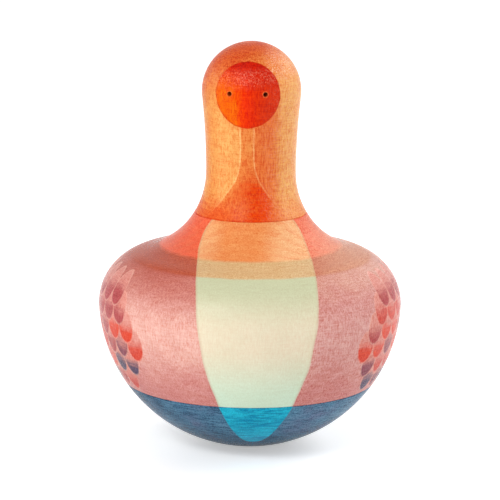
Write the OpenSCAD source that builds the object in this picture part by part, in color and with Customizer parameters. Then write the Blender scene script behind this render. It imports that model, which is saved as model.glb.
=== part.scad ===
// Roly-poly bird: a turned wooden tumbler that rights itself on a weighted, ball-shaped base.
// The origin is the middle of the flat it stands on, with +Z up and the face towards -Y.

/* [Turned outline] */
// Diameter of the ball that the base and the lower body are turned to
body_d = 100; // [94:1:120]
// Diameter of the small flat that the ball stands on
rest_flat_d = 14; // [8:0.5:18]
// Radius of the rounded shoulder above the widest part
shoulder_r = 18; // [14:0.5:20]
// Angle below the widest part at which the shoulder leaves the ball, in degrees
shoulder_start = 4; // [0:0.5:10]
// Radius of the hollow sweep from the shoulder into the neck
flare_r = 27; // [24:0.5:32]
// Diameter of the neck at its waist
neck_d = 29.5; // [27:0.5:31]
// Radius of the long hollow sweep from the waist up to the head
neck_sweep_r = 220; // [150:5:300]
// Diameter of the domed head
head_d = 32.5; // [31.5:0.5:38]

/* [Seams] */
// Height of the seam between the body and the base
base_seam_h = 21.7; // [20:0.1:26]
// Drop of the neck seam below the waist of the neck
neck_seam_drop = 13.6; // [10:0.1:18]
// Depth of the fine V that is scored along each seam
score_depth = 0.2; // [0.1:0.05:0.5]

/* [Eyes] */
// Diameter of the drilled eyes
eye_d = 1.5; // [1:0.1:3]
// Depth of the drilled eyes
eye_depth = 3; // [1.5:0.5:6]
// Straight distance between the eyes
eye_spacing = 11.7; // [8:0.1:16]
// Height of the eyes above the centre of the dome
eye_rise = 1; // [0:0.1:4]

/* [Neck joint] */
// Diameter of the tenon under the neck
tenon_d = 20; // [14:0.5:22]
// Length of tenon that stands out into the hollow
tenon_proud = 2.5; // [1:0.5:5]
// Bevel around the end of the tenon
tenon_bevel = 1; // [0.5:0.1:2]
// Length of the wedge driven into the end of the tenon
wedge_l = 13; // [8:0.5:13.5]
// Thickness of the wedge at its driven end
wedge_t = 3; // [2:0.1:4]
// Thickness of the wedge at its tip
wedge_tip_t = 1.4; // [0.8:0.1:1.8]
// Space left in the kerf beyond the tip of the wedge
wedge_tip_gap = 0.4; // [0.1:0.1:0.5]
// Gap for glue around the tenon and around the spigot
glue_gap = 0.1; // [0.05:0.01:0.2]

/* [Base joint and hollow] */
// Width of the glued ring around the spigot, where body and base meet
seam_land = 7.5; // [5:0.5:10]
// Height of the spigot on top of the base
spigot_h = 8; // [5:0.5:10]
// Bevel around the top of the spigot
spigot_bevel = 0.8; // [0.4:0.1:1.5]
// Space above the spigot, so that the seam closes first
spigot_top_gap = 0.2; // [0.1:0.1:0.5]
// Width of the ledge above the spigot, around the domed hollow of the body
ledge_w = 3; // [2:0.5:6]

/* [Ballast] */
// Thickness of the wood under the ballast
floor_t = 14; // [12:0.5:16]
// Number of steel plates in the stack
plate_count = 4; // [2:1:5]
// Outside diameter of a plate
plate_d = 50; // [40:0.5:52]
// Diameter of the hole in a plate
plate_hole_d = 17; // [12:0.5:19]
// Thickness of a plate
plate_t = 3; // [2:0.1:4]
// Rounding bevel on the punched edges of a plate
plate_bevel = 0.3; // [0.1:0.05:0.5]
// Gap around the plates in their pocket
pocket_gap = 0.4; // [0.2:0.1:1]

/* [Clamp screw] */
// Outside diameter of the washer that clamps the stack
clamp_d = 22; // [20:0.5:28]
// Diameter of the hole in the clamp washer
clamp_hole_d = 6.6; // [6.4:0.1:7.5]
// Thickness of the clamp washer
clamp_t = 2; // [1.5:0.1:3]
// Thread diameter of the lag screw
screw_d = 6; // [5:0.1:6.2]
// Core diameter between the threads
screw_core_d = 4.2; // [3:0.1:4.6]
// Distance from one thread to the next
screw_pitch = 2.5; // [2:0.1:3]
// Share of the pitch at which the crest of a thread stands
thread_crest_share = 0.5; // [0.3:0.05:0.7]
// Length of thread in the wood
screw_bite = 11; // [8:0.5:11.5]
// Width across the flats of the hexagon head
hex_w = 10; // [8:0.5:11]
// Height of the hexagon head
hex_h = 4; // [3:0.5:5]
// Gap between the thread and its pilot hole
pilot_gap = 0.05; // [0.02:0.01:0.1]
// Depth of the pilot hole beyond the tip of the screw
pilot_over = 0.5; // [0.2:0.1:0.5]

/* [Hidden] */
$fn = 180;
// Length by which every cutter runs past the face it cuts
overrun = 1;

ball_r = body_d / 2;
neck_r = neck_d / 2;
head_r = head_d / 2;
tenon_r = tenon_d / 2;
screw_r = screw_d / 2;
screw_core_r = screw_core_d / 2;

// Centres of the arcs of the outline, as radius and height
rest_edge = [rest_flat_d / 2, 0];
ball_c = [0, sqrt(ball_r ^ 2 - rest_edge.x ^ 2)];
shoulder_c = ball_c + (ball_r - shoulder_r) * [cos(shoulder_start), -sin(shoulder_start)];
waist_z = shoulder_c.y + sqrt((flare_r + shoulder_r) ^ 2 - (neck_r + flare_r - shoulder_c.x) ^ 2);
flare_c = [neck_r + flare_r, waist_z];
sweep_c = [neck_r + neck_sweep_r, waist_z];
head_c = [0, waist_z + sqrt((neck_sweep_r + head_r) ^ 2 - sweep_c.x ^ 2)];

// Points where one arc runs smoothly into the next
ball_end = ball_c + ball_r * [cos(shoulder_start), -sin(shoulder_start)];
shoulder_end = shoulder_c + shoulder_r * (flare_c - shoulder_c) / (flare_r + shoulder_r);
waist = [neck_r, waist_z];
sweep_end = head_c + head_r * (sweep_c - head_c) / (neck_sweep_r + head_r);
crown = head_c + [0, head_r];

// Points of the outline at the two seams, and the way the surface faces there
base_seam = [sqrt(ball_r ^ 2 - (ball_c.y - base_seam_h) ^ 2), base_seam_h];
base_seam_tilt = atan2(base_seam.y - ball_c.y, base_seam.x);
neck_seam_z = waist_z - neck_seam_drop;
neck_seam = [flare_c.x - sqrt(flare_r ^ 2 - neck_seam_drop ^ 2), neck_seam_z];
neck_seam_tilt = atan2(neck_seam_drop, flare_c.x - neck_seam.x);

// The spigot and its recess, the hollow above them and the tenon that comes through its roof
spigot_r = base_seam.x - seam_land;
recess_r = spigot_r + glue_gap;
hollow_r = recess_r - ledge_w;
hollow_z = base_seam_h + spigot_h + spigot_top_gap;
tenon_end_z = hollow_z + hollow_r - tenon_proud;

// The stack of plates and its screw
stack_top_z = floor_t + plate_count * plate_t;
clamp_top_z = stack_top_z + clamp_t;
screw_tip_z = floor_t - screw_bite;
thread_turns = floor((screw_bite - screw_r) / screw_pitch);
eye_turn = asin(eye_spacing / head_d);

PLATES = [for (i = [1 : plate_count]) str("ballast_plate_", i)];

// Sliver between an arc of a circle and its chord
module arc_sliver(centre, radius, from, to) {
    chord = to - from;
    side = [chord.y, -chord.x] / norm(chord);
    away = side * sign(side * (from - centre)) * radius;
    intersection() {
        translate(centre) circle(radius);
        polygon([from, to, to + away, from + away]);
    }
}

// Half outline of the whole toy: straight chords, filled out or hollowed by the arcs
module outline() {
    difference() {
        union() {
            polygon([[0, 0], rest_edge, ball_end, shoulder_end, waist, sweep_end, crown]);
            arc_sliver(ball_c, ball_r, rest_edge, ball_end);
            arc_sliver(shoulder_c, shoulder_r, ball_end, shoulder_end);
            arc_sliver(head_c, head_r, sweep_end, crown);
        }
        arc_sliver(flare_c, flare_r, shoulder_end, waist);
        arc_sliver(sweep_c, neck_sweep_r, waist, sweep_end);
    }
}

// Rectangle from the axis out to a radius, between two heights
module slab(radius, low, high) {
    translate([0, low]) square([radius, high - low]);
}

// V scored into the surface at a point of the outline
module score(point, tilt) {
    side = score_depth * sqrt(2);
    translate(point) rotate(tilt + 45) square(side, center = true);
}

// The stretch of the outline between two heights
module band(low, high) {
    intersection() {
        outline();
        slab(body_d, low, high);
    }
}

// Half outline of a ring with bevelled rims
module ring_outline(inner, outer, low, high, bevel) {
    polygon([
        [inner + bevel, low], [outer - bevel, low], [outer, low + bevel], [outer, high - bevel],
        [outer - bevel, high], [inner + bevel, high], [inner, high - bevel], [inner, low + bevel]
    ]);
}

// Half outline of the tenon, carried a little way into the neck
module tenon_outline() {
    root = neck_seam_z + overrun;
    polygon([
        [0, tenon_end_z], [tenon_r - tenon_bevel, tenon_end_z],
        [tenon_r, tenon_end_z + tenon_bevel], [tenon_r, root], [0, root]
    ]);
}

// Tapered block of a given length above the end of the tenon, as wide as the tenon and more
module wedge_block(length) {
    taper = (wedge_t - wedge_tip_t) / 2 / wedge_l;
    foot = wedge_t / 2 + overrun * taper;
    tip = wedge_t / 2 - length * taper;
    translate([0, 0, tenon_end_z])
        rotate([90, 0, 0])
            linear_extrude(tenon_d + overrun, center = true)
                polygon([[-foot, -overrun], [foot, -overrun], [tip, length], [-tip, length]]);
}

// Drill held square to the dome, on one side of the face
module eye_drill(side) {
    translate([0, 0, head_c.y + eye_rise])
        rotate([90, 0, side * eye_turn])
            translate([0, 0, head_r - eye_depth])
                cylinder(d = eye_d, h = eye_depth + overrun);
}

// Head, neck and tenon turned from one blank, with two drilled eyes and a kerf for the wedge
module head_neck() {
    color("darkorange")
        difference() {
            rotate_extrude() {
                difference() {
                    band(neck_seam_z, crown.y);
                    score(neck_seam, neck_seam_tilt);
                }
                tenon_outline();
            }
            for (side = [-1, 1]) eye_drill(side);
            wedge_block(wedge_l + wedge_tip_gap);
        }
}

// Hardwood wedge that spreads the tenon inside the body
module tenon_wedge() {
    color("burlywood")
        intersection() {
            rotate_extrude() tenon_outline();
            wedge_block(wedge_l);
        }
}

// Wide body: bored through for the tenon, hollowed and recessed from below
module body_shell() {
    color("rosybrown")
        rotate_extrude()
            difference() {
                band(base_seam_h, neck_seam_z);
                score(neck_seam, neck_seam_tilt);
                score(base_seam, base_seam_tilt);
                slab(tenon_r + glue_gap, hollow_z + hollow_r / 2, neck_seam_z + overrun);
                slab(recess_r, base_seam_h - overrun, hollow_z);
                intersection() {
                    translate([0, hollow_z]) circle(hollow_r);
                    slab(hollow_r, hollow_z - overrun, hollow_z + hollow_r);
                }
            }
}

// Ball-shaped base: a spigot to locate the body, a pocket for the ballast and a pilot hole
module rocker_base() {
    spigot_top = base_seam_h + spigot_h;
    color("steelblue")
        rotate_extrude()
            difference() {
                union() {
                    difference() {
                        band(0, base_seam_h);
                        score(base_seam, base_seam_tilt);
                    }
                    polygon([
                        [0, base_seam_h - overrun], [spigot_r, base_seam_h - overrun],
                        [spigot_r, spigot_top - spigot_bevel],
                        [spigot_r - spigot_bevel, spigot_top], [0, spigot_top]
                    ]);
                }
                slab(plate_d / 2 + pocket_gap, floor_t, spigot_top + overrun);
                slab(screw_r + pilot_gap, screw_tip_z - pilot_over, floor_t + overrun);
            }
}

// One punched steel plate of the ballast, counted from the bottom
module ballast_plate(count) {
    low = floor_t + (count - 1) * plate_t;
    color("slategray")
        rotate_extrude()
            ring_outline(plate_hole_d / 2, plate_d / 2, low, low + plate_t, plate_bevel);
}

// Wide washer that bridges the holes of the plates
module clamp_washer() {
    bevel = (clamp_hole_d - screw_d) / 2;
    color("silver")
        rotate_extrude()
            ring_outline(clamp_hole_d / 2, clamp_d / 2, stack_top_z, clamp_top_z, bevel);
}

// Hexagon lag screw: head, plain shank, ridged thread and pointed tip
module ballast_screw() {
    thread_low_z = screw_tip_z + screw_r;
    thread_high_z = thread_low_z + thread_turns * screw_pitch;
    ridges = [
        for (turn = [0 : thread_turns - 1])
            each [
                [screw_core_r, thread_low_z + turn * screw_pitch],
                [screw_r, thread_low_z + (turn + thread_crest_share) * screw_pitch]
            ]
    ];
    color("gainsboro") {
        translate([0, 0, clamp_top_z])
            cylinder(d = hex_w / cos(30), h = hex_h, $fn = 6);
        rotate_extrude()
            polygon(concat(
                [[0, screw_tip_z]],
                ridges,
                [
                    [screw_core_r, thread_high_z], [screw_r, thread_high_z],
                    [screw_r, clamp_top_z + hex_h / 2], [0, clamp_top_z + hex_h / 2]
                ]
            ));
    }
}

head_neck();
tenon_wedge();
body_shell();
rocker_base();
for (count = [1 : plate_count])
    ballast_plate(count);
clamp_washer();
ballast_screw();
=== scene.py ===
import math
import bpy
import numpy as np
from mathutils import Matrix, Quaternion, Vector


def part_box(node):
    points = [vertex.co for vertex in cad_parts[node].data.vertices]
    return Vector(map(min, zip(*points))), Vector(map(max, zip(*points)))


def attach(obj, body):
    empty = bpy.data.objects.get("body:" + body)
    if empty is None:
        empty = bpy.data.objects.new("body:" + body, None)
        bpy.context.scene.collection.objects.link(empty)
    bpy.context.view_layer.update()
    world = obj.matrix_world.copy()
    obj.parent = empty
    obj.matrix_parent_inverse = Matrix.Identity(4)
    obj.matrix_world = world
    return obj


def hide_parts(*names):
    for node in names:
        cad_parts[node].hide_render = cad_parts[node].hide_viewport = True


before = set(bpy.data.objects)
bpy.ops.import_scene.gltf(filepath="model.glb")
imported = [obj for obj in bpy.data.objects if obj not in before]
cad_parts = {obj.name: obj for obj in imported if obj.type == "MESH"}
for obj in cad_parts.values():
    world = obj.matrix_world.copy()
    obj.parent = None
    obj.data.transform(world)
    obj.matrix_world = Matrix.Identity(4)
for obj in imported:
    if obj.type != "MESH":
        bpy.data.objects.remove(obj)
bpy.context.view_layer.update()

print("frame loaded:", len(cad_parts), "nodes")

mm = 1000.0     # millimetres in a metre: meshes are in metres, materials in millimetres
tiny = 1e-9     # keeps a division away from nought

turning = {
    "ballRadius": 0.050, "restRadius": 0.007,
    "shoulderRadius": 0.018, "shoulderStart": math.radians(4),
    "flareRadius": 0.027, "neckRadius": 0.01475,
    "sweepRadius": 0.220, "headRadius": 0.01625,
    "scoreDepth": 0.0002,       # fine V along each seam
    "scoreFlank": 0.0005,       # from the bottom of the V in to the flat of the joint
    "tableStep": 0.00004,       # spacing of the outline's table
    "rowStep": 0.0009, "columns": 192,
    "innerStep": 0.002,         # spacing of the rows on straight faces
    "decimals": 7,              # rows that agree to so many decimals are one
    "sharpAngle": math.radians(32),
}

evenTurns = np.linspace(-math.pi, math.pi, turning["columns"], endpoint=False)
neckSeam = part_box("body_shell")[1].z
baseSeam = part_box("body_shell")[0].z


# Arc: centre plus radius times (cos, sin) of angles spread evenly between two ends.
def arcPoints(centre, radius, start, end):
    count = max(2, int(radius * abs(end - start) / turning["tableStep"]))
    angle = np.linspace(start, end, count)
    return np.column_stack((centre[0] + radius * np.cos(angle), centre[1] + radius * np.sin(angle)))


# Outline from the crown down to the rest: five arcs that touch each other smoothly, as radius and height.
def turnedOutline():
    ball, shoulder, flare = turning["ballRadius"], turning["shoulderRadius"], turning["flareRadius"]
    neck, sweep, head = turning["neckRadius"], turning["sweepRadius"], turning["headRadius"]
    start, inset = turning["shoulderStart"], ball - shoulder
    ballCentre = (0, math.sqrt(ball ** 2 - turning["restRadius"] ** 2))
    shoulderCentre = (inset * math.cos(start), ballCentre[1] - inset * math.sin(start))
    across = neck + flare - shoulderCentre[0]
    waist = shoulderCentre[1] + math.sqrt((flare + shoulder) ** 2 - across ** 2)
    headCentre = (0, waist + math.sqrt((sweep + head) ** 2 - (neck + sweep) ** 2))
    lean = math.atan2(waist - headCentre[1], neck + sweep)             # where the dome meets the sweep
    turn = math.atan2(waist - shoulderCentre[1], across)               # where the flare meets the shoulder
    rest = math.atan2(-ballCentre[1], turning["restRadius"])
    arcs = [
        arcPoints(headCentre, head, math.pi / 2, lean),
        arcPoints((neck + sweep, waist), sweep, math.pi + lean, math.pi),
        arcPoints((neck + flare, waist), flare, math.pi, math.pi + turn),
        arcPoints(shoulderCentre, shoulder, turn, -start),
        arcPoints(ballCentre, ball, -start, rest),
    ]
    points = np.vstack([arcs[0]] + [arc[1:] for arc in arcs[1:]])
    points[0, 0] = 0
    along = np.concatenate(([0], np.cumsum(np.hypot(*np.diff(points, axis=0).T))))
    return points, along, waist, headCentre[1]


outline, outlineAlong, waistHeight, headHeight = turnedOutline()


# Radius and height at a distance along the outline from the crown.
def outlineAt(along):
    return np.interp(along, outlineAlong, outline[:, 0]), np.interp(along, outlineAlong, outline[:, 1])


# Distance along the outline at a height; heights fall all the way down the outline.
def alongAt(height):
    return float(np.interp(-height, -outline[:, 1], outlineAlong))


# Height at which the flare or the shoulder passes a radius.
def heightAt(radius):
    part = outline[:, 1] > turning["ballRadius"]
    part &= outline[:, 1] < waistHeight
    return float(np.interp(radius, outline[part, 0], outline[part, 1]))


# Bottom of the V at a seam: the surface point moved in, square to the surface, by the depth of the V.
def scoreBottom(height):
    along, step, depth = alongAt(height), turning["tableStep"], turning["scoreDepth"]
    radius, level = outlineAt(np.array([along - step, along, along + step]))
    slope = np.array([radius[2] - radius[0], level[2] - level[0]])
    slope /= np.hypot(*slope)
    return np.array([radius[1] + slope[1] * depth, level[1] - slope[0] * depth])


# Even rows between two distances along the outline.
def rowsBetween(start, end):
    return np.linspace(start, end, int((end - start) / turning["rowStep"]) + 1)


# Turned skin: grid row i runs down the profile and column j round the axis; a pole row becomes one
# point, a loop joins the last row to the first, and every quad is wound to face outwards.
def skinMesh(name, place, along, skin, poleFirst=False, poleLast=False, loop=False):
    rows, columns = place.shape[:2]
    index = np.arange(rows * columns).reshape(rows, columns)
    if poleFirst:
        index[0] = index[0, 0]
    if poleLast:
        index[-1] = index[-1, 0]
    below = np.roll(index, -1, 0) if loop else index[1:]
    above = index if loop else index[:-1]
    quads = np.stack((above, below, np.roll(below, -1, 1), np.roll(above, -1, 1)), -1)
    used = np.unique(index)
    lookup = np.zeros(rows * columns, int)
    lookup[used] = np.arange(len(used))
    quads = lookup[quads]
    faces = quads[int(poleFirst):len(quads) - int(poleLast)].reshape(-1, 4).tolist()
    if poleFirst:
        faces += quads[0][:, :3].tolist()
    if poleLast:
        faces += quads[-1][:, [0, 1, 3]].tolist()
    mesh = bpy.data.meshes.new(name)
    mesh.from_pydata(place.reshape(-1, 3)[used].tolist(), [], faces)
    for layer, values in (("along", along), ("skin", skin)):
        values = values.ravel()[used].astype(np.float32)
        mesh.attributes.new(layer, "FLOAT", "POINT").data.foreach_set("value", values)
    finishMesh(mesh)
    piece = bpy.data.objects.new(name, mesh)
    bpy.context.scene.collection.objects.link(piece)
    return piece


# Smooth shading with real edges kept where faces meet at more than the sharp angle.
def finishMesh(mesh):
    mesh.shade_smooth()
    mesh.set_sharp_from_angle(angle=turning["sharpAngle"])
    mesh.update()


# Profile turned about the axis: x is radius times the sine and y minus radius times the cosine of an angle.
def turnedPlace(radius, angle, height):
    return np.stack((radius * np.sin(angle), -radius * np.cos(angle), height), -1)


# Grid of a profile of radius and height turned to each of the angles.
def turnedGrid(profile, angles):
    radius, angle = np.meshgrid(profile[:, 0], angles, indexing="ij")
    return turnedPlace(radius, angle, np.broadcast_to(profile[:, 1:2], radius.shape))


# Whole turned piece from one profile of radius and height; skin marks the stained rows.
def turnedPiece(name, profile, along, skin, **ends):
    place, spread = turnedGrid(profile, evenTurns), np.ones(len(evenTurns))
    return skinMesh(name, place, np.outer(along, spread), np.outer(skin, spread), **ends)


# Points set between the corners of a straight-sided profile, so that no face grows too long.
def cornerRows(corners):
    corners, step = np.asarray(corners, float), turning["innerStep"]
    lengths = np.concatenate(([0], np.cumsum(np.hypot(*np.diff(corners, axis=0).T))))
    sides = zip(lengths, lengths[1:])
    marks = np.concatenate([np.linspace(a, b, max(2, int((b - a) / step) + 1)) for a, b in sides])
    marks = np.unique(marks.round(turning["decimals"]))
    return np.column_stack([np.interp(marks, lengths, corners[:, side]) for side in (0, 1)])


# Head and neck
head = {
    "eyeRadius": 0.00075, "eyeDepth": 0.003, "eyeSpacing": 0.0117, "eyeRise": 0.001,
    "rings": (0.00025, 0.0005, 0.00072, 0.000745, 0.00076, 0.00082,       # close rows about an eye
              0.00092, 0.0011, 0.0014, 0.0018, 0.0023, 0.0029),
    "roundTo": 0.0014, "fadeTo": 0.0029,     # rings are circles to the first and fade out by the second
    "fadeInside": 0.999,                     # the outermost ring stays on the grid
    "lipDrop": 0.00005, "lipReach": 0.0009, "lipWidth": 0.00015,    # softened rim of a drilled hole
    "tenonRadius": 0.010, "tenonBevel": 0.001,
    "kerfWide": 0.003, "kerfTip": 0.0014, "wedgeLength": 0.013, "kerfOver": 0.0004,
    "cutterOver": 0.001,                     # how far the cutter reaches past the tenon
}
eyeTurn = math.asin(head["eyeSpacing"] / (2 * turning["headRadius"]))
eyeHeight = headHeight + head["eyeRise"]


# Rows and columns of the head: even ones, with the close rings of each eye in place of those near it.
def headGrid(eyeAlong, eyeReach, seamAlong):
    offsets = np.array(head["rings"])
    offsets = np.concatenate((-offsets[::-1], [0], offsets))
    rows = rowsBetween(0, seamAlong - turning["scoreDepth"])
    rows = rows[np.abs(rows - eyeAlong) > head["fadeTo"]]
    rows = np.sort(np.concatenate((rows, eyeAlong + offsets)))
    columns = evenTurns
    for side in (-1, 1):
        columns = columns[np.abs(columns - side * eyeTurn) * eyeReach > head["fadeTo"]]
    turns = offsets / eyeReach
    return rows, np.sort(np.concatenate((columns, eyeTurn + turns, -eyeTurn + turns)))


# Head grid: the outline turned, with a set of close rows and columns at each eye whose square rings are
# drawn into circles, and everything inside the drill's radius set back to the flat bottom of the hole.
def makeHead():
    eyeAlong, seamAlong = alongAt(eyeHeight), alongAt(neckSeam)
    eyeReach = float(outlineAt(eyeAlong)[0])
    rows, columns = headGrid(eyeAlong, eyeReach, seamAlong)
    along, angle = np.meshgrid(rows, columns, indexing="ij")
    inside = np.zeros(along.shape)
    lip = np.zeros(along.shape)
    for side in (-1, 1):
        across = (angle - side * eyeTurn) * eyeReach
        down = along - eyeAlong
        square = np.maximum(np.abs(across), np.abs(down))
        circle = np.maximum(np.hypot(across, down), tiny)
        share = np.clip((head["fadeTo"] - square) / (head["fadeTo"] - head["roundTo"]), 0, 1)
        pull = 1 - share + share * square / circle
        near = square < head["fadeTo"] * head["fadeInside"]
        angle = np.where(near, side * eyeTurn + across * pull / eyeReach, angle)
        along = np.where(near, eyeAlong + down * pull, along)
        inside += side * (square < head["eyeRadius"])
        rim = np.clip((head["lipReach"] - square) / head["lipWidth"], 0, 1) ** 2
        lip += rim * (square > head["eyeRadius"])
    radius, height = outlineAt(along)
    place = turnedPlace(radius - lip * head["lipDrop"], angle, height)
    floor = turning["headRadius"] - head["eyeDepth"]
    for side in (-1, 1):
        axis = np.array([side * math.sin(eyeTurn), -math.cos(eyeTurn), 0])
        depth = (place @ axis - floor)[..., None] * axis
        place = np.where((inside == side)[..., None], place - depth, place)
    bottom = scoreBottom(neckSeam)
    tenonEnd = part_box("head_neck")[0].z
    tenon, bevel = head["tenonRadius"], head["tenonBevel"]
    core = cornerRows([bottom, (bottom[0] - turning["scoreFlank"], neckSeam), (tenon, neckSeam),
                       (tenon, tenonEnd + bevel), (tenon - bevel, tenonEnd), (0, tenonEnd)])
    corePlace = turnedGrid(core, columns)
    coreSkin = np.zeros(corePlace.shape[:2])
    coreSkin[0] = 1
    return skinMesh(
        "headAndNeck", np.concatenate((place, corePlace)),
        np.concatenate((along, np.full(coreSkin.shape, seamAlong))),
        np.concatenate((np.ones(along.shape), coreSkin)), poleFirst=True, poleLast=True)


# Kerf: a tapered block, cut out of the end of the tenon where the wedge sits.
def cutKerf(piece):
    low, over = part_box("head_neck")[0].z, head["cutterOver"]
    taper = (head["kerfWide"] - head["kerfTip"]) / 2 / head["wedgeLength"]
    length = head["wedgeLength"] + head["kerfOver"]
    foot, tip = head["kerfWide"] / 2 + over * taper, head["kerfWide"] / 2 - length * taper
    reach = head["tenonRadius"] + over
    levels = ((low - over, foot), (low + length, tip))
    square = ((-1, -reach), (1, -reach), (1, reach), (-1, reach))
    corners = [(side * wide, deep, high) for high, wide in levels for side, deep in square]
    faces = [(3, 2, 1, 0), (4, 5, 6, 7), (0, 1, 5, 4), (1, 2, 6, 5), (2, 3, 7, 6), (3, 0, 4, 7)]
    mesh = bpy.data.meshes.new("kerfCutter")
    mesh.from_pydata(corners, [], faces)
    cutter = bpy.data.objects.new("kerfCutter", mesh)
    bpy.context.scene.collection.objects.link(cutter)
    cut = piece.modifiers.new("kerf", "BOOLEAN")
    cut.operation, cut.solver, cut.object = "DIFFERENCE", "EXACT", cutter
    bpy.context.view_layer.update()
    done = bpy.data.meshes.new_from_object(piece.evaluated_get(bpy.context.evaluated_depsgraph_get()))
    piece.modifiers.clear()
    piece.data = done
    done.name = piece.name
    bpy.data.objects.remove(cutter)
    bpy.data.meshes.remove(mesh)
    finishMesh(done)


# Body
body = {
    "boreRadius": 0.0101, "seamLand": 0.0075, "glueGap": 0.0001, "ledge": 0.003, "topGap": 0.0002,
    "domeRows": 40,
}


# Body profile: the outline between the seams, then the recess, the domed hollow and the bore, as one
# closed loop.
def makeBody():
    depth, flank = turning["scoreDepth"], turning["scoreFlank"]
    rows = rowsBetween(alongAt(neckSeam) + depth, alongAt(baseSeam) - depth)
    skin = np.column_stack(outlineAt(rows))
    top, bottom = scoreBottom(neckSeam), scoreBottom(baseSeam)
    seamRadius = float(outlineAt(alongAt(baseSeam))[0])
    recess = seamRadius - body["seamLand"] + body["glueGap"]
    hollow = recess - body["ledge"]
    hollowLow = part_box("rocker_base")[1].z + body["topGap"]
    dome = np.linspace(0, math.acos(body["boreRadius"] / hollow), body["domeRows"])
    dome = np.column_stack((hollow * np.cos(dome), hollowLow + hollow * np.sin(dome)))
    land = cornerRows([bottom, (bottom[0] - flank, baseSeam), (recess, baseSeam), (recess, hollowLow),
                       dome[0]])
    bore = cornerRows([dome[-1], (body["boreRadius"], neckSeam), (top[0] - flank, neckSeam)])
    inner = np.vstack((land[1:], dome[1:], bore[1:]))
    profile = np.vstack((top, skin, bottom, inner))
    along = np.concatenate(([alongAt(neckSeam)], rows, np.full(len(inner) + 1, alongAt(baseSeam))))
    stained = np.concatenate((np.ones(len(skin) + 2), np.zeros(len(inner))))
    return turnedPiece("bodyTurning", profile, along, stained, loop=True)


# Base
base = {
    "pocketGap": 0.0004, "pilotGap": 0.00005, "pilotOver": 0.0005, "screwRadius": 0.003,
    "spigotBevel": 0.0008,
}


# Base profile: pilot hole, pocket and spigot from the axis outwards, then the ball from the seam to the
# rest.
def makeBase():
    rows = rowsBetween(alongAt(baseSeam) + turning["scoreDepth"], outlineAlong[-1])
    skin = np.column_stack(outlineAt(rows))
    edge = scoreBottom(baseSeam)
    pilot = base["screwRadius"] + base["pilotGap"]
    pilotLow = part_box("ballast_screw")[0].z - base["pilotOver"]
    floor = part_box("ballast_plate_1")[0].z
    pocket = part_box("ballast_plate_1")[1].x + base["pocketGap"]
    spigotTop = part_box("rocker_base")[1].z
    spigot = float(outlineAt(alongAt(baseSeam))[0]) - body["seamLand"]
    bevel = base["spigotBevel"]
    inner = cornerRows([(0, pilotLow), (pilot, pilotLow), (pilot, floor), (pocket, floor),
                        (pocket, spigotTop), (spigot - bevel, spigotTop), (spigot, spigotTop - bevel),
                        (spigot, baseSeam), (edge[0] - turning["scoreFlank"], baseSeam), edge])
    foot = cornerRows([skin[-1], (0, 0)])[1:]
    profile = np.vstack((inner, skin, foot))
    footAlong = rows[-1] + skin[-1, 0] - foot[:, 0]
    along = np.concatenate((np.full(len(inner), alongAt(baseSeam)), rows, footAlong))
    stained = np.concatenate((np.zeros(len(inner) - 1), np.ones(1 + len(skin) + len(foot))))
    return turnedPiece("baseTurning", profile, along, stained, poleFirst=True, poleLast=True)


headPiece = makeHead()
cutKerf(headPiece)
bodyPiece = makeBody()
basePiece = makeBase()
for piece, node, slot in ((headPiece, "head_neck", "head_wood"), (bodyPiece, "body_shell", "body_wood"),
                          (basePiece, "rocker_base", "base_wood")):
    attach(piece, "root")
    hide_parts(node)
    print("turned", piece.name, len(piece.data.vertices), "points")


# Method that joins a wire and one more value, if any, in a Math node.
def mathMethod(operation):
    return lambda wire, other=0: wire.math(operation, wire, other)


# One socket of a material; arithmetic on it adds Math nodes.
class Wire:
    def __init__(self, tree, socket=None):
        self.tree, self.socket = tree, socket

    # Any shader node: its type, values or wires for its sockets, the output wanted and its settings.
    def node(self, kind, sockets=None, out=0, **settings):
        made = self.tree.nodes.new("ShaderNode" + kind)
        for key, value in settings.items():
            setattr(made, key, value)
        for key, value in (sockets or {}).items():
            target = made.inputs[key]
            if isinstance(value, Wire):
                self.tree.links.new(value.socket, target)
            elif target.type == "RGBA" and len(value) == 3:
                target.default_value = (*value, 1)
            else:
                target.default_value = value
        return Wire(self.tree, made.outputs[out] if len(made.outputs) else None)

    # Math node on one or two values.
    def math(self, operation, first, second=0):
        return self.node("Math", {0: first, 1: second}, operation=operation)

    __add__ = __radd__ = mathMethod("ADD")
    __sub__ = mathMethod("SUBTRACT")
    __mul__ = __rmul__ = mathMethod("MULTIPLY")
    __truediv__ = mathMethod("DIVIDE")
    __pow__ = mathMethod("POWER")
    size = mathMethod("ABSOLUTE")      # value without its sign
    whole = mathMethod("FLOOR")        # whole number at or below the value
    larger = mathMethod("MAXIMUM")     # the larger of two values

    # Plain number less the wire.
    def __rsub__(self, other):
        return self.math("SUBTRACT", other, self)

    # Smooth step from nought at low to one at high.
    def rise(self, low, high):
        sockets = {"Value": self, "From Min": low, "From Max": high}
        return self.node("MapRange", sockets, interpolation_type="SMOOTHSTEP")

    # Colour between two colours, with this wire as the share of the second.
    def colour(self, first, second):
        return self.node("Mix", {0: self, 6: first, 7: second}, 2, data_type="RGBA")

    # Noise of a vector stretched by three factors and shifted, less its average of a half.
    def noise(self, stretch, detail=2.0, roughness=0.5, shift=(0, 0, 0)):
        place = self.node("VectorMath", {0: self, 1: stretch, 2: shift}, operation="MULTIPLY_ADD")
        sockets = {"Vector": place, "Scale": 1.0, "Detail": detail, "Roughness": roughness}
        return self.node("TexNoise", sockets) - 0.5


# Length of two steps at right angles: the root of the sum of their squares.
def distance(across, up):
    return (across * across + up * up) ** 0.5


# New material with an empty tree; gives the material and a first wire.
def newMaterial(name):
    material = bpy.data.materials.new(name)
    material.use_nodes = True
    material.node_tree.nodes.clear()
    return material, Wire(material.node_tree)


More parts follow.
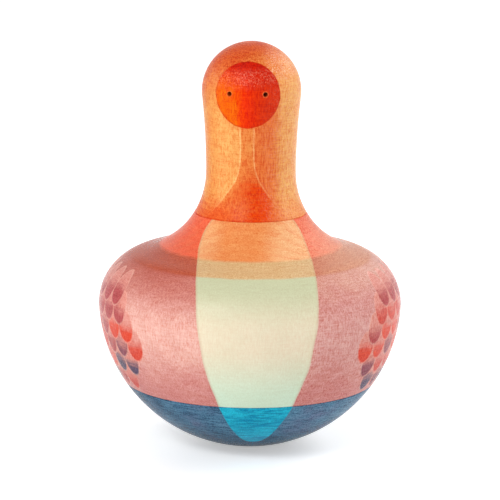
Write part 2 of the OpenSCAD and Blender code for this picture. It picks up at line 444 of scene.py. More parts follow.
# Principled surface on the material's output.
def surface(start, sockets):
    shader = start.node("BsdfPrincipled", sockets)
    start.node("OutputMaterial", {"Surface": shader})


# Normal lifted by a height, with a strength and a depth in metres.
def lifted(start, bump, height):
    strength, depth = bump
    return start.node("Bump", {"Strength": strength, "Distance": depth, "Height": height}, "Normal")


# Place on the piece: Object coordinates in mm, as one vector and as x, y and z.
def objectPlace(start):
    coordinate = start.node("TexCoord", out="Object")
    place = start.node("VectorMath", {0: coordinate, "Scale": mm}, operation="SCALE")
    return place, *(start.node("SeparateXYZ", {0: place}, side) for side in (0, 1, 2))


# Sum of the wood's marks, each times its weight; the mark called one adds a plain number.
def weighted(wood, weights):
    terms = [wood[name] if weight == 1.0 else wood[name] * weight for name, weight in weights.items()]
    return sum(terms[1:], terms[0])


# Product of the wood's marks that one line names.
def product(wood, names):
    first, *rest = (wood[name] for name in names.split())
    return math.prod(rest, start=first)


# Adds marks to the wood, each from those before it. A line of names is their product, a dictionary a
# weighted sum and a pair the larger of two. Two ends, mostly in mm, make it a smooth step from nought at
# the first to one at the second.
def addMarks(wood, marks):
    for name, (source, *ends) in marks.items():
        if isinstance(source, dict):
            value = weighted(wood, source)
        elif isinstance(source, tuple):
            value = wood[source[0]].larger(wood[source[1]])
        else:
            value = product(wood, source)
        wood[name] = value.rise(*ends) if ends else value


# Colours laid one over the other on a ground: a layer gives its colour, its share and the marks whose
# product says where it goes.
def layered(wood, finish, ground, layers):
    for tone, share, names in finish[layers]:
        ground = (product(wood, names) * share).colour(ground, finish[tone])
    return ground


figure = {
    "pith": (-0.2, 68.0), "pithHeight": 91.0,    # middle of the growth rings, behind the toy
    "pithSway": 0.027,             # how far the pith goes to the right for each mm up
    "pithLean": -0.0355,           # how far the pith comes forward for each mm up
    "ringStep": 3.3, "firstRing": 82.49, "ringFade": (0.0, 0.9),
    "ringBow": 0.00193, "bowHeight": 99.0,
    "opensAt": 93.0, "opensOver": 2.5, "opening": 0.0447,    # below this height the rings part
    "drift": ((0.05, 0.05, 0.022), 1.0), "ringDrift": 0.08,  # wander of a ring
    "grown": {                     # noise in the wood: stretch for each mm, detail, roughness, shift
        "fibres": ((2.5, 2.5, 0.40), 1.0),
        "flecks": ((1.6, 1.6, 0.5), 2.0, 0.55),
        "specks": ((1.6, 1.6, 1.2), 1.0, 0.5, (9.0, 4.0, 6.0)),
        "grit": ((3.0, 3.0, 2.4), 0.0, 0.5, (2.0, 7.0, 3.0)),
        "blotch": ((0.085, 0.085, 0.085), 3.0, 0.5, (3.0, 8.0, 1.0)),
    },
    "worked": {                    # noise round the axis, from the lathe and the brush
        "lines": ((0.22, 0.22, 2.2), 2.0, 0.6),
        "brush": ((0.16, 0.16, 1.1), 4.0, 0.65, (5.0, 2.0, 7.0)),
    },
    "fleckRise": (0.06, 0.20),
}


# Wood figure in mm. Growth rings are the distance from a leaning pith, less a bow with the square of the
# height and plus an opening low down. Fibres and flecks are noise drawn out along the grain, and lathe lines
# and brush marks are noise drawn out round the axis, on the distance from the crown.
def woodFigure(start):
    place, x, y, z = objectPlace(start)
    along = start.node("Attribute", out="Fac", attribute_name="along") * mm
    skin = start.node("Attribute", out="Fac", attribute_name="skin")
    roundAxis = start.node("CombineXYZ", {0: x, 1: y, 2: along})
    up = z - figure["pithHeight"]
    across = x - figure["pith"][0] - up * figure["pithSway"]
    back = y - figure["pith"][1] - up * figure["pithLean"]
    fromBow = z - figure["bowHeight"]
    below = figure["opensAt"] - z
    opening = (distance(below, figure["opensOver"]) + below) * figure["opening"]
    fromRing = distance(across, back) + place.noise(*figure["drift"]) * figure["ringDrift"]
    fromRing = fromRing - fromBow * fromBow * figure["ringBow"] + opening - figure["firstRing"]
    phase = fromRing / figure["ringStep"]
    wood = {"one": 1.0, "place": place, "x": x, "y": y, "z": z, "along": along, "skin": skin}
    wood["fromRing"] = fromRing
    wood["ringTone"] = (phase - phase.whole()).rise(*figure["ringFade"])
    for name, settings in figure["grown"].items():
        wood[name] = place.noise(*settings)
    for name, settings in figure["worked"].items():
        wood[name] = roundAxis.noise(*settings)
    wood["flecks"] = wood["flecks"].rise(*figure["fleckRise"])
    return wood


woodFinish = {
    "bare": (0.60, 0.43, 0.25), "bareLine": (0.42, 0.26, 0.13), "skinEdge": (0.2, 0.8),
    "toneDepth": 0.75, "toneMiddle": 0.4, "paleTone": (1.06, 1.22, 1.25),
    "seamLine": 0.35,              # how deep the stain gathers along a seam
    "height": {"lines": 0.6, "fibres": 0.35, "specks": 1.4, "flecks": -0.15},
    "bump": (0.4, 0.0003),
    "roughness": {"one": 0.20, "fibres": 0.3, "flecks": 0.08, "blotch": 0.12}, "specular": 1.0,
}


# Stained wood: stain on the skin, bare wood inside. Grain runs the stain from a paler tone to a deeper one,
# which is the stain times a share of itself, and fine grain lifts the surface.
def stainedSurface(start, wood, stain, finish, share):
    marks = weighted(wood, finish["grain"]) * share
    for height, width in finish["seams"]:
        fromSeam = (wood["along"] - alongAt(height) * mm).size()
        marks = marks + fromSeam.rise(width, 0.0) * woodFinish["seamLine"]
    sockets = {0: woodFinish["toneDepth"], 6: (1, 1, 1), 7: stain}
    tone = start.node("Mix", sockets, 2, data_type="RGBA")
    deep, pale = (start.node("VectorMath", {0: stain, 1: factor}, operation="MULTIPLY")
                  for factor in (tone, woodFinish["paleTone"]))
    stained = (marks + woodFinish["toneMiddle"]).colour(pale, deep)
    bare = wood["ringTone"].colour(woodFinish["bare"], woodFinish["bareLine"])
    colour = wood["skin"].rise(*woodFinish["skinEdge"]).colour(bare, stained)
    normal = lifted(start, woodFinish["bump"], weighted(wood, woodFinish["height"]) * share)
    roughness = weighted(wood, woodFinish["roughness"])
    surface(start, {"Base Color": colour, "Roughness": roughness, "Normal": normal,
                    "Specular IOR Level": woodFinish["specular"], "IOR": finish["ior"]})


headStain = {
    "orange": (0.86, 0.25, 0.050), "amber": (0.85, 0.355, 0.090), "crown": (0.73, 0.090, 0.014),
    "shade": (0.80, 0.14, 0.030), "paleAmber": (0.92, 0.49, 0.175), "neckRed": (0.80, 0.064, 0.003),
    "paleLine": (0.98, 0.60, 0.26),
    # faceShadeRight: the face's red painted darker as shade on the right
    "face": (0.88, 0.036, 0.0005), "faceShadeRight": (0.72, 0.034, 0.003), "faceDeep": (0.62, 0.012, 0.002),
    "faceRim": (0.60, 0.018, 0.001), "faceAmber": (0.86, 0.160, 0.001),
    "lifted": (0.86, 0.36, 0.23), "glint": (0.97, 0.66, 0.48),    # painted sheen and painted glints, laid on as pale and bright specks
    # halo: painted light on the rim of each drilled eye; eyeLitLeft: the left eye's hole painted lighter as
    # lit
    "halo": (0.90, 0.22, 0.06), "eye": (0.18, 0.025, 0.007), "eyeLitLeft": (0.38, 0.085, 0.020),
    "faceRadius": 11.1,            # straight from the middle of the face
    "faceWander": ((0.35, 0.35, 0.35), 2.0), "faceSway": 0.5,
    "lineFade": (1.0, 0.2),        # from the edge of a ring line to its core
    "marks": {
        "front": ("y", 0.0, -2.0),
        "facing": ({"y": 1.0, "blotch": 10.0}, 10.0, -6.0),
        "toLeft": ("x", 2.0, -5.0),
        "amber": ({"blotch": 1.6, "one": 0.68, "toLeft": 0.15}, 0.0, 1.0),
        "crown": ({"z": 1.0, "x": -0.5, "blotch": 12.0, "brush": 6.0}, 119.0, 134.0),
        "onNeck": ("fromEyes", 2.0, -9.0),
        "pastRing": ("fromRing", -0.02, 0.05), "between": ("pastRing front",),
        "outside": ({"one": 1.0, "between": -1.0},),
        # right of the ring lines the neck is painted darker as shade between its lit left and its right, and
        # its right side is painted paler as a highlight; the steps at the ring lines are in the stain
        "rightOf": ("x", 0.0, 1.0), "rightEnd": ({"x": 1.0, "blotch": 4.0}, 12.5, 7.0),
        "right": ("rightOf outside rightEnd front",),
        "deeper": ({"between": 0.40, "right": 0.70},),
        "leftOf": ("x", -1.0, -3.5), "leftEnd": ("x", -12.0, -8.0),
        "left": ("leftOf leftEnd onNeck front outside",),
        "rightSide": ("x", 8.0, 13.0), "paintedHighlightSide": ("rightSide facing",),
        "paler": ({"left": 0.42, "paintedHighlightSide": 0.68},),
        "footLean": ("x", -5.0, 5.0),                            # red foot of the neck
        "footRing": ({"fromRing": 1.0, "footLean": 0.5, "blotch": 1.5}, -0.1, 1.0),
        "footFrom": ("fromRing", -1.0, 0.3),
        "footUp": ({"fromWaist": 1.0, "blotch": 7.0}, 9.0, -4.0),
        "footSide": ("x", -6.0, 5.0), "footShare": ({"footSide": 0.6, "one": 0.4},),
        "footEnd": ({"x": 1.0, "blotch": 3.0}, 10.5, 6.0),
        "footStreak": ({"brush": 1.6, "lines": 0.8, "one": 0.95},),
        "foot": ("footRing footFrom footUp footShare footEnd footStreak front",),
        "lowUp": ({"fromSeam": 1.0, "brush": 5.0}, 9.0, 1.0),    # red just over the seam
        "lowSide": ("x", 13.0, 5.0), "lowShare": ({"lowSide": 0.408, "one": 0.272},),
        "low": ("lowUp lowShare",), "footOrLow": (("foot", "low"),),
        "lineWidens": ("fromWaist", 4.0, (neckSeam - waistHeight) * mm),    # pale ring lines
        "lineWidth": ({"lineWidens": 0.25, "one": 0.05},),
        "lineStreak": ({"brush": 1.5, "one": 0.9}, 0.0, 1.0),
        "lineUp": ({"fromSeam": 1.0, "blotch": 6.0}, 1.0, (waistHeight - neckSeam) * mm),
        "lineRight": ("x", -1.0, 2.0), "lineShare": ({"one": 0.6, "lineRight": -0.18},),
        "face": ("fromFace", 0.14, -0.14), "faceRim": ("fromFace", -0.8, 0.0),
        # the face painted darker red to the right, as shade on the side away from the key light
        "faceShadeRight": ("x", -3.0, 7.0),
        "faceTop": ({"fromEyes": 1.0, "blotch": 10.0, "brush": 6.0, "x": 0.3}, 0.0, 10.0),
        "amberEdge": ({"x": 1.0, "brush": 0.6}, -2.7, -3.5), "amberBelow": ("fromEyes", 0.5, -3.0),
        "amberFade": ({"x": 1.0, "blotch": 4.0}, 0.4, -7.1),
        "amberUp": ({"fromEyes": 1.0, "blotch": 8.0}, 9.0, 0.0),
        "amberLow": ("amberEdge amberBelow",), "amberHigh": ("amberFade amberUp",),
        "faceAmber": (("amberLow", "amberHigh"),),
        "above": ({"fromEyes": 1.0, "blotch": 5.0},),            # painted sheen and glints: specks above and beside the eyes, where the lamps' highlights fall
        "aside": ({"x": 1.0, "blotch": 5.0},),
        "upperFrom": ("above", 0.5, 3.5), "upperTo": ("above", 8.5, 5.5),
        "upper": ("upperFrom upperTo",), "belt": ({"upper": 0.8},),
        "flankFrom": ("aside", 3.0, 9.0), "flankTo": ("x", 18.0, 15.0),
        "flankShare": ({"one": 1.0, "face": -0.6},), "flank": ("flankFrom flankTo flankShare",),
        "beltOrFlank": (("belt", "flank"),),
        "glintSide": ("aside", 3.0, 7.0), "glintFrom": ("above", 3.0, 6.5), "glintTo": ("above", 15.0, 11.0),
        "offFace": ({"one": 1.0, "face": -1.0},), "beside": ("glintSide glintFrom glintTo offFace facing",),
        "raised": ("grit", -0.04, 0.18), "bright": ("grit", 0.02, 0.16), "sunk": ("grit", 0.02, -0.14),
        "halo": ("fromEye", 1.3, 0.8), "eye": ("fromEye", 0.80, 0.70), "eyeRight": ("x", -1.0, 1.0),
        "grainShare": ({"crown": 0.8, "one": 1.0},),
    },
    "groundLayers": (
        ("amber", 1.0, "amber"), ("crown", 0.9, "crown"), ("shade", 1.0, "deeper onNeck"),
        ("paleAmber", 1.0, "paler"), ("neckRed", 1.0, "footOrLow"),
        ("paleLine", 1.0, "line lineStreak lineUp front lineShare"),
    ),
    "faceLayers": (
        ("faceShadeRight", 1.0, "faceShadeRight"), ("faceDeep", 1.0, "faceTop"),
        ("faceAmber", 0.85, "faceAmber"), ("faceRim", 0.35, "faceRim"),
    ),
    # painted sheen and painted glints as pale and dark specks, and painted light on the eye rims
    "paintedSheenLayers": (
        ("lifted", 0.50, "raised beltOrFlank facing"), ("glint", 0.6, "beside bright"),
        ("shade", 0.7, "beside sunk"), ("faceDeep", 0.6, "upper face sunk front"),
        ("halo", 0.55, "halo front"),
    ),
    # what deepens the stain, or pales it where it is below nought
    "grain": {"flecks": 0.25, "specks": 0.5, "grit": 1.0, "fibres": -1.7, "lines": -1.2, "brush": -0.4},
    "ior": 1.10, "seams": ((neckSeam, 0.55),),    # height of a seam and width of its line
}


# Head stain: orange that reddens to the crown and to the foot of the neck, with two pale ring lines down the
# front, the neck painted darker right of them as shade and paler on its right side as a highlight. Over it
# go a round red face, which is everything within a straight distance of its middle and is painted darker to
# the right as shade, a painted sheen and painted glints in pale and dark specks, and two eyes, which are
# everything within a straight distance of a drill's axis, the left one painted lighter as lit and each with
# painted light on its rim.
def headMaterial():
    material, start = newMaterial("headWood")
    wood = woodFigure(start)
    x, y, z = wood["x"], wood["y"], wood["z"]
    for name, height in (("fromEyes", eyeHeight), ("fromWaist", waistHeight), ("fromSeam", neckSeam)):
        wood[name] = z - height * mm
    across = x.size() * math.cos(eyeTurn) + y * math.sin(eyeTurn)
    wood["fromEye"] = distance(across, wood["fromEyes"])
    middle = -math.sqrt(turning["headRadius"] ** 2 - head["eyeRise"] ** 2) * mm
    fromMiddle = distance(distance(x, y - middle), wood["fromEyes"])
    sway = wood["place"].noise(*headStain["faceWander"]) * headStain["faceSway"]
    wood["fromFace"] = fromMiddle + sway - headStain["faceRadius"]
    addMarks(wood, headStain["marks"])
    wood["line"] = (wood["fromRing"].size() / wood["lineWidth"]).rise(*headStain["lineFade"])
    stain = layered(wood, headStain, headStain["orange"], "groundLayers")
    face = layered(wood, headStain, headStain["face"], "faceLayers")
    stain = layered(wood, headStain, wood["face"].colour(stain, face), "paintedSheenLayers")
    # the left eye's hole is painted lighter, as light falling on its far wall; the right one stays dark
    eye = wood["eyeRight"].colour(headStain["eyeLitLeft"], headStain["eye"])
    stain = product(wood, "eye front").colour(stain, eye)
    stainedSurface(start, wood, stain, headStain, wood["grainShare"])
    return material


bodyStain = {
    "coral": (0.88, 0.160, 0.068), "brownRose": (0.58, 0.115, 0.051), "rose": (0.76, 0.362, 0.312),
    # paintedGlowRose: rose painted paler as a glow of light
    "highRose": (0.63, 0.198, 0.157), "lowRose": (0.70, 0.265, 0.240), "paintedGlowRose": (0.95, 0.58, 0.490),
    # sheenRose: rose painted paler as sheen high on the right
    "dustyRose": (0.76, 0.41, 0.40), "sheenRose": (0.80, 0.470, 0.290), "leftBrown": (0.54, 0.074, 0.022),
    "flank": (0.66, 0.155, 0.110),
    "peach": (0.85, 0.315, 0.103), "palePeach": (0.90, 0.49, 0.245), "deepPeach": (0.82, 0.20, 0.045),
    "tan": (0.74, 0.475, 0.245), "green": (0.65, 0.61, 0.41), "cream": (0.87, 0.715, 0.545),
    "lowGreen": (0.73, 0.80, 0.64), "patchEdge": (0.62, 0.36, 0.22),
    "bandRadii": (0.030, 0.040),   # where the first and the second ring of colour end
    "bandHeight": {"z": 1.0, "lines": 0.5, "blotch": 0.5}, "bandEdge": (0.9, 0.0),
    "peachEdge": (4.0, 15.0),      # how far aside the peach starts to pale and is pale, partly a painted sheen
    "patchSoft": (-0.14, 0.14), "patchGrain": 0.32,    # share of the grain that shows through the pale patch
    "marks": {
        "first": ("fromFirst", 0.45, -0.45), "second": ("fromSecond", 0.3, -0.3),
        "wash": ({"blotch": 2.6, "brush": 0.7, "one": 0.5}, 0.0, 1.0),
        "cloud": ({"z": 1.0, "blotch": 9.0, "brush": 4.0},),
        "high": ("cloud", 46.0, 62.0), "low": ("cloud", 42.0, 24.0),
        # paleTop, paleFoot and paleLeft place a painted glow of light low on the left of the body
        "paleTop": ("cloud", 60.0, 45.0), "paleFoot": ("cloud", 27.0, 46.0),
        "paleLeft": ({"x": 1.0, "blotch": 12.0}, 14.0, -14.0), "pale": ("paleTop paleFoot paleLeft",),
        "paler": ({"pale": 0.52, "wash": 0.12},),
        "ringMarks": ({"ringTone": 1.0, "brush": 1.2, "fibres": 0.5}, 0.55, 1.15),
        "flank": ("x", -33.0, -48.0),
        "left": ("x", -10.0, -36.0), "leftHigh": ("cloud", 58.0, 66.0),
        # right and rightHigh: the upper right of the body painted paler as sheen
        "right": ("x", 8.0, 34.0), "rightHigh": ("cloud", 54.0, 64.0),
        "dusty": ("x", 14.0, 28.0), "dustyUp": ("cloud", 28.0, 40.0),
        "creamUp": ("z", 62.0, 48.0), "greenUp": ("z", 44.0, 24.0),
        "fromMiddle": ({"x": 1.0, "one": 1.0, "blotch": 8.0},),
        # grain painted stronger to the right, in colour and bump, partly as the side light raking across it
        "rakedSide": ("x", 8.0, 24.0), "rakedShare": ({"rakedSide": 0.35, "one": 1.0},),
    },
    "roseLayers": (
        ("highRose", 1.0, "high"), ("lowRose", 1.0, "low"), ("paintedGlowRose", 1.0, "paler"),
    ),
    "sideLayers": (
        ("leftBrown", 0.35, "bandEdge"), ("brownRose", 0.11, "ringMarks"), ("flank", 0.4, "flank"),
        ("leftBrown", 0.75, "left leftHigh first"), ("sheenRose", 0.52, "right rightHigh"),
        ("dustyRose", 0.3, "dusty dustyUp second"),
    ),
    "creamLayers": (("cream", 1.0, "creamUp"), ("lowGreen", 1.0, "greenUp"), ("green", 0.14, "wash")),
    "peachLayers": (("palePeach", 1.0, "aside"), ("deepPeach", 0.26, "ringMarks"), ("tan", 1.0, "first")),
    "grain": {"flecks": 0.2, "specks": 0.3, "grit": 0.7, "fibres": -1.3, "lines": -0.9, "brush": -0.3},
    "ior": 1.11, "seams": ((neckSeam, 0.4), (baseSeam, 0.5)),
}
patch = {
    "turn": math.radians(8), "middle": 45.0, "reach": 39.0, "width": 18.5, "taper": 0.35,
    "edge": (0.9, 0.1), "edgeShare": 0.3, "front": (0.0, 3.0), "wander": ((0.10, 0.10, 0.10), 1.0),
}
wing = {
    "width": 9.0, "rowStep": 5.6, "lowest": 6.0,                        # degrees, mm, mm
    "middle": (88.0, 41.0), "reach": (44.0, 19.0), "turn": 5.5,         # degrees and mm
    "half": 0.53, "wobble": 0.15,                                       # in steps of a scale
    "rim": (0.86, 0.45, 0.36), "wash": (0.78, 0.31, 0.25),
    "crimson": (0.50, 0.060, 0.068), "ember": (0.78, 0.050, 0.006), "indigo": (0.050, 0.042, 0.115),
    "emberAt": (50.0, 44.0), "indigoAt": (36.0, 30.0), "tintSpread": 16.0,    # mm up
    "inside": (1.001, 0.999), "sides": (-1.0, 1.0),
    "pool": 0.40, "poolRise": (0.0, 0.9), "poolMarks": {"blotch": 1.5, "brush": 1.0},
    "rimRise": (0.70, 0.92), "rimShare": 0.7, "edge": (1.02, 0.92), "share": 0.9,
}


# Egg-shaped breast patch: half-width is width times the root of one less t squared, times one plus taper
# times t, where t runs from minus one at the lower tip to one at the top.
def patchInside(wood):
    across = wood["x"] * math.cos(patch["turn"]) + wood["y"] * math.sin(patch["turn"])
    front = wood["y"] * -math.cos(patch["turn"]) + wood["x"] * math.sin(patch["turn"])
    share = (wood["z"] - patch["middle"]) / patch["reach"]
    bulge = (1.0 - share * share).larger(0.0) ** 0.5
    half = bulge * (1.0 + share * patch["taper"]) * patch["width"]
    wander = wood["place"].noise(*patch["wander"]) * bulge
    return half - across.size() + wander, front.rise(*patch["front"])


# One row of wing scales: ellipses in degrees round the axis and mm up, each with its own tint.
def wingRow(wood, turn, level, row, stain):
    odd = row / 2.0
    shift = odd - odd.whole()
    middle = (turn - shift).whole() + shift + 0.5
    across, up = (turn - middle) / wing["half"], level - row
    reach = across * across + up * up
    height = row * wing["rowStep"] + wing["lowest"]
    fromTurn = (middle * wing["width"] - wing["middle"][0]) / wing["reach"][0]
    fromLevel = (height - wing["middle"][1]) / wing["reach"][1]
    inWing = (fromTurn * fromTurn + fromLevel * fromLevel).rise(*wing["inside"])
    side = wood["x"].rise(*wing["sides"])
    chance = side.node("CombineXYZ", {0: middle, 1: row, 2: side})
    chance = side.node("TexWhiteNoise", {"Vector": chance}, "Value", noise_dimensions="3D")
    height = height + (chance - 0.5) * wing["tintSpread"]
    tint = height.rise(*wing["emberAt"]).colour(wing["crimson"], wing["ember"])
    tint = height.rise(*wing["indigoAt"]).colour(tint, wing["indigo"])
    pool = (wing["pool"] - up + weighted(wood, wing["poolMarks"])).rise(*wing["poolRise"])
    inner = pool.colour(wing["wash"], tint)
    inner = (reach.rise(*wing["rimRise"]) * wing["rimShare"]).colour(inner, wing["rim"])
    return (reach.rise(*wing["edge"]) * inWing * wing["share"]).colour(stain, inner)


# Wings: turn is degrees from the front over the width of a scale, level is mm up over the step of a row, and
# the row at each place is laid under the next one up.
def bodyWings(wood, stain):
    degrees = wood["x"].math("ARCTAN2", wood["x"], 0.0 - wood["y"]) * (180 / math.pi) - wing["turn"]
    wobble = wood["blotch"] * wing["wobble"]
    turn = degrees.size() / wing["width"] + wobble
    level = (wood["z"] - wing["lowest"]) / wing["rowStep"] + wobble
    row = level.whole()
    stain = wingRow(wood, turn, level, row, stain)
    return wingRow(wood, turn, level, row + 1.0, stain)


# Body stain: rings of coral and brown rose down the shoulder, then rose in clouds with a painted glow low on
# the left, other tones at the sides, a painted sheen high on the right, scaled wings, and the breast patch,
# which is peach, tan and cream in the same rings, its peach painted paler aside partly as sheen; grain is
# painted stronger to the right, partly as the side light raking across it.
def bodyMaterial():
    material, start = newMaterial("bodyWood")
    wood = woodFigure(start)
    height = weighted(wood, bodyStain["bandHeight"])
    ends = (heightAt(radius) * mm for radius in bodyStain["bandRadii"])
    wood["fromFirst"], wood["fromSecond"] = (height - end for end in ends)
    addMarks(wood, bodyStain["marks"])
    wood["bandEdge"] = wood["fromSecond"].size().rise(*bodyStain["bandEdge"])
    wood["aside"] = wood["fromMiddle"].size().rise(*bodyStain["peachEdge"])
    second = wood["second"]
    rings = wood["first"].colour(bodyStain["coral"], bodyStain["brownRose"])
    rose = layered(wood, bodyStain, bodyStain["rose"], "roseLayers")
    stain = layered(wood, bodyStain, second.colour(rings, rose), "sideLayers")
    stain = bodyWings(wood, stain)
    peach = layered(wood, bodyStain, bodyStain["peach"], "peachLayers")
    cream = layered(wood, bodyStain, bodyStain["green"], "creamLayers")
    inside, front = patchInside(wood)
    edge = inside.rise(*patch["edge"]) * patch["edgeShare"]
    breast = edge.colour(second.colour(peach, cream), bodyStain["patchEdge"])
    onPatch = inside.rise(*bodyStain["patchSoft"]) * front
    share = 1.0 - onPatch * second * (1.0 - bodyStain["patchGrain"])
    stainedSurface(start, wood, onPatch.colour(stain, breast), bodyStain, share * wood["rakedShare"])
    return material


baseStain = {
    "blue": (0.082, 0.180, 0.288), "paleBlue": (0.160, 0.305, 0.420), "violet": (0.150, 0.185, 0.295),
    # shadeBlue: painted shade, the base darker towards the bottom and to the left
    "shadeBlue": (0.012, 0.060, 0.110),
    "turquoise": (0.034, 0.56, 0.70), "deepTurquoise": (0.008, 0.27, 0.45),
    "patchSoft": (-0.12, 0.12), "patchSmooth": 0.55,    # share of the grain that the patch hides
    "marks": {
        "streak": ({"brush": 2.4, "lines": 1.2, "grit": 2.4, "one": 0.4}, 0.0, 1.0),
        # pale: brush streaks, and the right side painted paler as sheen
        "sheenRight": ("x", 4.0, 24.0), "pale": ({"streak": 0.75, "sheenRight": 0.4},),
        "farRight": ("x", 4.0, 28.0),
        "violet": ({"blotch": 2.5, "brush": 0.8, "farRight": 0.22, "one": 0.04}, 0.0, 0.8),
        # painted shade towards the bottom and to the left
        "low": ("z", 15.0, 3.0), "lowShare": ({"low": 0.7},),
        "left": ("x", -16.0, -42.0), "leftShare": ({"left": 0.4},),
        "shadeLowOrLeft": (("lowShare", "leftShare"),),
        "deep": ({"blotch": 1.8, "brush": 3.2, "lines": 0.8, "one": 0.42}, 0.0, 0.9),
    },
    "layers": (
        ("paleBlue", 1.0, "pale"), ("violet", 1.0, "violet"), ("shadeBlue", 1.0, "shadeLowOrLeft"),
    ),
    "grain": {"flecks": 0.1, "specks": 1.0, "grit": 2.0, "fibres": -2.2, "lines": -2.8, "brush": -1.5},
    "ior": 1.06, "seams": ((baseSeam, 0.6),),
}


# Base stain: blue in brushed rings, with violet clouds, painted shade low down and to the left, a painted
# sheen to the right, and turquoise where the breast patch runs on.
def baseMaterial():
    material, start = newMaterial("baseWood")
    wood = woodFigure(start)
    addMarks(wood, baseStain["marks"])
    stain = layered(wood, baseStain, baseStain["blue"], "layers")
    inside, front = patchInside(wood)
    onPatch = inside.rise(*baseStain["patchSoft"]) * front
    tip = wood["deep"].colour(baseStain["turquoise"], baseStain["deepTurquoise"])
    stain = onPatch.colour(stain, tip)
    stainedSurface(start, wood, stain, baseStain, 1.0 - onPatch * baseStain["patchSmooth"])
    return material


wedgeFinish = {
    "pale": (0.66, 0.49, 0.29), "dark": (0.45, 0.29, 0.14),
    "grain": ((3.2, 1.1, 0.10), 4.0, 0.6), "pores": ((7.0, 7.0, 0.8), 2.0),
    "poreTone": 0.4, "toneRise": (-0.15, 0.20),
    "bump": (0.4, 0.00008), "poreBump": 0.5,
    "roughness": 0.62, "poreRoughness": 0.3,
}


# Riven hardwood: noise drawn out along the grain, with fine pores.
def wedgeMaterial():
    material, start = newMaterial("wedgeWood")
    place = objectPlace(start)[0]
    grain, pores = place.noise(*wedgeFinish["grain"]), place.noise(*wedgeFinish["pores"])
    tone = (grain + pores * wedgeFinish["poreTone"]).rise(*wedgeFinish["toneRise"])
    normal = lifted(start, wedgeFinish["bump"], grain + pores * wedgeFinish["poreBump"])
    roughness = wedgeFinish["roughness"] + pores * wedgeFinish["poreRoughness"]
    colour = tone.colour(wedgeFinish["pale"], wedgeFinish["dark"])
    surface(start, {"Base Color": colour, "Roughness": roughness, "Normal": normal})
    return material


zincFinish = {
    "plate": {"bright": (0.56, 0.57, 0.58), "dull": (0.40, 0.41, 0.42), "roughness": 0.42, "turned": False},
    "bolt": {"bright": (0.70, 0.70, 0.67), "dull": (0.52, 0.52, 0.49), "roughness": 0.28, "turned": True},
    "turnedLines": ((6.0, 6.0, 1.0), 2.0), "turnedDrift": 0.02, "rolledLines": ((0.3, 7.0, 3.0), 2.0),
    "cloud": ((0.35, 0.35, 0.35), 4.0, 0.6),
    "lineTone": 0.5, "toneRise": (-0.15, 0.18),
    "bump": (0.3, 0.00004), "cloudBump": 0.4,
    "cloudRoughness": -0.35, "lineRoughness": 0.12,
}


# Zinc plating: crystal clouds over fine rolling or turning lines, duller where the clouds are dark.
def zincMaterial(name, finish):
    material, start = newMaterial(name)
    place, x, y, z = objectPlace(start)
    if finish["turned"]:
        sockets = {0: distance(x, y), 1: z, 2: x * zincFinish["turnedDrift"]}
        fine = start.node("CombineXYZ", sockets).noise(*zincFinish["turnedLines"])
    else:
        fine = place.noise(*zincFinish["rolledLines"])
    cloud = place.noise(*zincFinish["cloud"])
    worn = (cloud + fine * zincFinish["lineTone"]).rise(*zincFinish["toneRise"])
    normal = lifted(start, zincFinish["bump"], fine + cloud * zincFinish["cloudBump"])
    roughness = finish["roughness"] + cloud * zincFinish["cloudRoughness"]
    roughness = roughness + fine * zincFinish["lineRoughness"]
    surface(start, {"Base Color": worn.colour(finish["dull"], finish["bright"]), "Metallic": 1.0,
                    "Roughness": roughness, "Normal": normal})
    return material


# Puts one material on a piece in place of what it has.
def coat(piece, material):
    piece.data.materials.clear()
    piece.data.materials.append(material)


coat(headPiece, headMaterial())
coat(bodyPiece, bodyMaterial())
coat(basePiece, baseMaterial())
coat(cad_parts["tenon_wedge"], wedgeMaterial())
plateZinc = zincMaterial("plateZinc", zincFinish["plate"])
boltZinc = zincMaterial("boltZinc", zincFinish["bolt"])
for name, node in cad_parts.items():
    if name.startswith("ballast_plate"):
        coat(node, plateZinc)
for name in ("clamp_washer", "ballast_screw"):
    coat(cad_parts[name], boltZinc)
print("materials on", len(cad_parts), "nodes")

studio = {
    "floorRadius": 6.0, "floorStart": 0.02, "floorRings": 14, "floorColumns": 96,
    "floorColour": (0.90, 0.90, 0.90), "floorRoughness": 0.35, "floorSpecular": 0.3,
    "nearGlow": 0.44, "farGlow": 0.56, "glowRise": (0.10, 0.50),
    "skyLow": 0.45, "skyHigh": 0.26, "skyRise": (0.0, 0.8),    # even light at the horizon and overhead
    "lamps": {   # azimuth from the face, elevation, distance, width, height, power
        "keySoftbox": (-25, 36, 1.00, 0.55, 0.36, 3.8),
        "stripSoftbox": (-25, 37, 0.95, 0.40, 0.16, 1.7),
        "leftSoftbox": (-74, 6, 0.90, 0.50, 0.60, 1.7),
        "rightSoftbox": (97, 28, 0.90, 0.14, 0.75, 3.0),
        "backSoftbox": (138, 33, 0.90, 0.60, 0.45, 2.6),
    },
    "lampAim": 0.062,
}
view = {
    "azimuth": 5.0, "elevation": 11.58, "distance": 0.9507, "aim": (-0.0001, 0.0, 0.0647), "roll": 0.46,
    "framePixels": 500, "pixelsPerMetre": 3032.2, "sensor": 36.0,
}


# Point at an azimuth from the face and an elevation, at a distance from an aim.
def around(aim, azimuth, elevation, reach):
    a, e = math.radians(azimuth), math.radians(elevation)
    away = Vector((math.sin(a) * math.cos(e), -math.cos(a) * math.cos(e), math.sin(e)))
    return Vector(aim) + reach * away


# One for rays from the camera, from gloss and through glass, and nought for the rest.
def seenDirectly(start):
    ways = ("Is Camera Ray", "Is Glossy Ray", "Is Transmission Ray")
    camera, gloss, glass = (start.node("LightPath", out=way) for way in ways)
    return camera.larger(gloss).larger(glass)


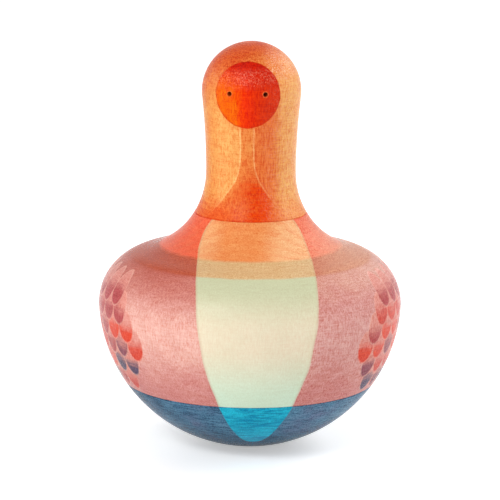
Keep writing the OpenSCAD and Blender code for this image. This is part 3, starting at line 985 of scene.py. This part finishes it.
# Floor: a plain disc of rings about the toy, white to the camera, with the toy's shadow kept.
def makeFloor():
    rings = np.geomspace(studio["floorStart"], studio["floorRadius"], studio["floorRings"])
    turns = np.linspace(0, 2 * math.pi, studio["floorColumns"], endpoint=False)
    radius, angle = np.meshgrid(rings, turns, indexing="ij")
    place = turnedPlace(radius, angle, np.zeros(radius.shape))
    place = np.concatenate((np.zeros((1, len(turns), 3)), place))
    blank = np.zeros(place.shape[:2])
    floor = skinMesh("floor", place, blank, blank, poleFirst=True)
    material, start = newMaterial("floorPaper")
    place = start.node("TexCoord", out="Object")
    fromToy = start.node("VectorMath", {0: place}, "Value", operation="LENGTH")
    far = fromToy.rise(*studio["glowRise"])
    white = far.colour((studio["nearGlow"],) * 3, (studio["farGlow"],) * 3)
    glow = seenDirectly(start).colour((0, 0, 0), white)
    surface(start, {"Base Color": studio["floorColour"], "Roughness": studio["floorRoughness"],
                    "Specular IOR Level": studio["floorSpecular"],
                    "Emission Color": glow, "Emission Strength": 1.0})
    coat(floor, material)


# World: plain white to the camera, to gloss and through glass, and a soft even light otherwise.
def makeWorld():
    world = bpy.data.worlds.new("studioWorld")
    bpy.context.scene.world = world
    world.use_nodes = True
    world.node_tree.nodes.clear()
    start = Wire(world.node_tree)
    direction = start.node("TexCoord", out="Generated")
    up = start.node("SeparateXYZ", {0: direction}, 2)
    sky = up.rise(*studio["skyRise"]) * (studio["skyHigh"] - studio["skyLow"]) + studio["skyLow"]
    level = seenDirectly(start).larger(sky)
    glow = start.node("Background", {"Color": (1, 1, 1), "Strength": level})
    start.node("OutputWorld", {"Surface": glow})


# Lamps: flat soft boxes that face the toy.
def makeLamps():
    aim = (0, 0, studio["lampAim"])
    for name, (azimuth, elevation, reach, wide, high, power) in studio["lamps"].items():
        lamp = bpy.data.lights.new(name, "AREA")
        lamp.shape, lamp.size, lamp.size_y, lamp.energy = "RECTANGLE", wide, high, power
        piece = bpy.data.objects.new(name, lamp)
        piece.location = around(aim, azimuth, elevation, reach)
        piece.rotation_euler = (Vector(aim) - piece.location).to_track_quat("-Z", "Y").to_euler()
        bpy.context.scene.collection.objects.link(piece)


# Camera: on a sphere round its aim, rolled a little, with the lens that gives the scale in pixels.
def makeCamera():
    camera = bpy.data.cameras.new("photoCamera")
    camera.sensor_width = view["sensor"]
    camera.lens = view["sensor"] * view["distance"] * view["pixelsPerMetre"] / view["framePixels"]
    piece = bpy.data.objects.new("photoCamera", camera)
    piece.location = around(view["aim"], view["azimuth"], view["elevation"], view["distance"])
    turn = (Vector(view["aim"]) - piece.location).to_track_quat("-Z", "Y")
    turn = turn @ Quaternion((0, 0, 1), math.radians(view["roll"]))
    piece.rotation_euler = turn.to_euler()
    bpy.context.scene.collection.objects.link(piece)
    bpy.context.scene.camera = piece


makeFloor()
makeWorld()
makeLamps()
makeCamera()
bpy.context.scene.view_settings.view_transform = "Standard"
print("studio ready")
